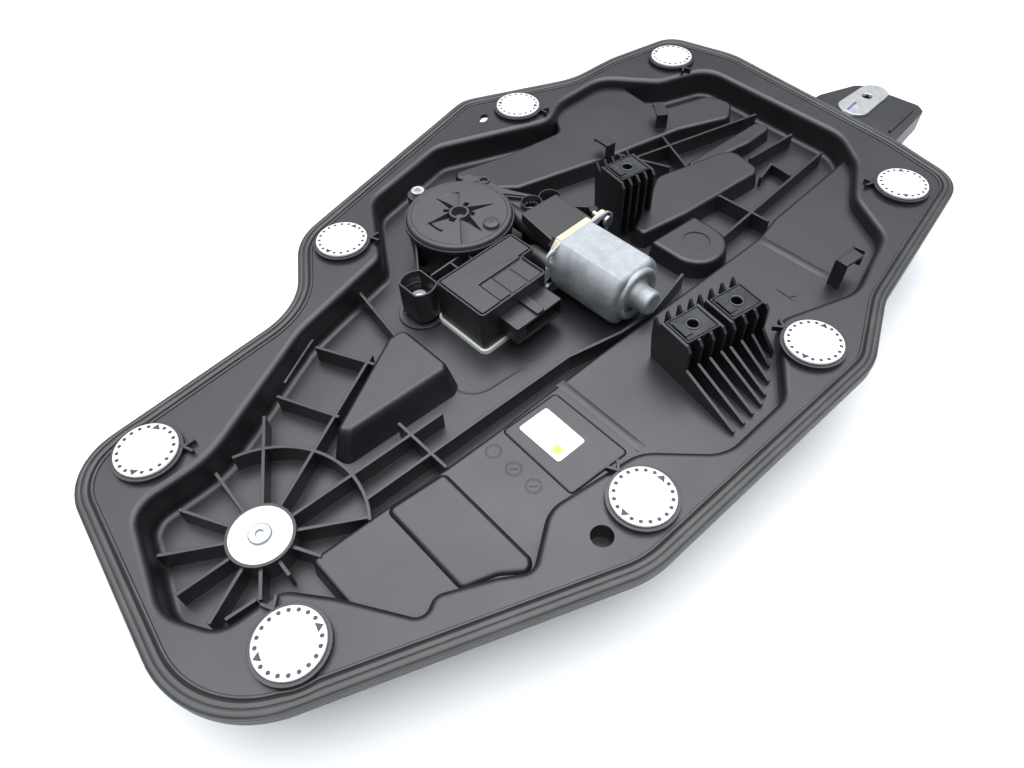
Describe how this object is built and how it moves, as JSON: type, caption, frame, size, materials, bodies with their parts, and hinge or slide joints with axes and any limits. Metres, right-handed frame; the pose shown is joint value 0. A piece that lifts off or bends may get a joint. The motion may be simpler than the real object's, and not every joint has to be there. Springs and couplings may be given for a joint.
{
  "type": "window regulator",
  "caption": "Door carrier panel with a cable-driven window lift: motor and gearbox, drum, guide rail, pulleys and a sliding glass carrier.",
  "frame": {"origin": "centre of the round locating hole at the underside of the panel's flange", "axes": "+Z out of the locating hole to the dry side with the motor, +X along the guide rail from the hub to the upper end"},
  "size_m": [0.6756, 0.3681, 0.081],
  "materials": {
    "black_plastic": "moulded black polypropylene, satin",
    "seal_rubber": "extruded black rubber",
    "white_plastic": "white moulded plastic",
    "galvanised_steel": "galvanised sheet steel",
    "zinc": "zinc plated steel",
    "spring_steel": "coated spring steel",
    "label_film": "white film label, blank",
    "cream_plastic": "cream moulded plastic",
    "carbon": "carbon",
    "bearing_bronze": "sintered bronze",
    "ferrite": "ferrite",
    "shaft_steel": "ground steel",
    "core_iron": "stacked steel sheets",
    "copper": "copper",
    "natural_plastic": "natural bearing plastic",
    "damper_rubber": "rubber",
    "gasket_foam": "pale sealing gasket",
    "board_green": "circuit board",
    "contact_tin": "tin plated contacts",
    "cable_steel": "stranded steel",
    "sheath_plastic": "black plastic sheath"
  },
  "bodies": {
    "root": {"carrier_panel": "black_plastic", "gearbox_housing": "black_plastic", "gear_cover": "black_plastic", "module_housing": "black_plastic", "module_lid": "black_plastic", "connector_socket": "black_plastic", "rail_head": "black_plastic", "drum_housing": "black_plastic", "perimeter_seal": "seal_rubber", "fixing_caps": "white_plastic", "hub_washer": "white_plastic", "motor_can": "galvanised_steel", "guide_rail": "galvanised_steel", "rail_end_bracket": "zinc", "hub_screw": "zinc", "motor_screws": "zinc", "can_screws": "zinc", "rail_rivets": "zinc", "lower_pulley_pin": "zinc", "upper_pulley_pin": "zinc", "drum_housing_screws": "zinc", "wheel_axle": "zinc", "sheath_fittings": "zinc", "clip_nuts": "spring_steel", "label": "label_film", "brush_plate": "cream_plastic", "carbon_brushes": "carbon", "shaft_bushes": "bearing_bronze", "magnets": "ferrite", "module_gasket": "gasket_foam", "circuit_board": "board_green", "connector_pins": "contact_tin", "lift_cable": "cable_steel", "lower_sheath": "sheath_plastic", "upper_sheath": "sheath_plastic"},
    "armature": {"armature_shaft": "shaft_steel", "armature_core": "core_iron", "armature_windings": "copper", "commutator": "copper"},
    "drum": {"worm_wheel": "natural_plastic", "wheel_damper": "damper_rubber", "drive_coupling": "natural_plastic", "cable_drum": "natural_plastic", "drum_cable_turns": "cable_steel"},
    "glass_carrier": {"glass_carrier": "black_plastic", "slider_shoes": "natural_plastic", "glass_clamp": "zinc", "clamp_screw": "zinc", "cable_nipples": "cable_steel"},
    "lower_pulley": {"lower_pulley": "natural_plastic"},
    "upper_pulley": {"upper_pulley": "natural_plastic"}
  },
  "joints": [
    {"name": "armature_spin", "type": "hinge", "parent": "root", "child": "armature", "pos_m": [0.135, 0.15, 0.0035], "axis": [0, 1, 0], "range_deg": [0, 75200]},
    {"name": "drum_spin", "type": "hinge", "parent": "root", "child": "drum", "pos_m": [0.103, 0.217, 0], "axis": [0, 0, 1], "range_deg": [0, 1255]},
    {"name": "glass_slide", "type": "slide", "parent": "root", "child": "glass_carrier", "axis": [1, 0, 0], "range_m": [0, 0.372]},
    {"name": "lower_pulley_spin", "type": "hinge", "parent": "root", "child": "lower_pulley", "pos_m": [-0.1145, 0.12, -0.03], "axis": [0, 0, 1], "range_deg": [0, 1255]},
    {"name": "upper_pulley_spin", "type": "hinge", "parent": "root", "child": "upper_pulley", "pos_m": [0.425, 0.12, -0.03], "axis": [0, 0, 1], "range_deg": [0, 1255]}
  ],
  "couplings": [
    {"joint": "drum_spin", "follows": "armature_spin", "ratio": 0.016667},
    {"joint": "glass_slide", "follows": "armature_spin", "m_per_rad": 0.00028333},
    {"joint": "lower_pulley_spin", "follows": "armature_spin", "ratio": 0.016667},
    {"joint": "upper_pulley_spin", "follows": "armature_spin", "ratio": 0.016667}
  ]
}
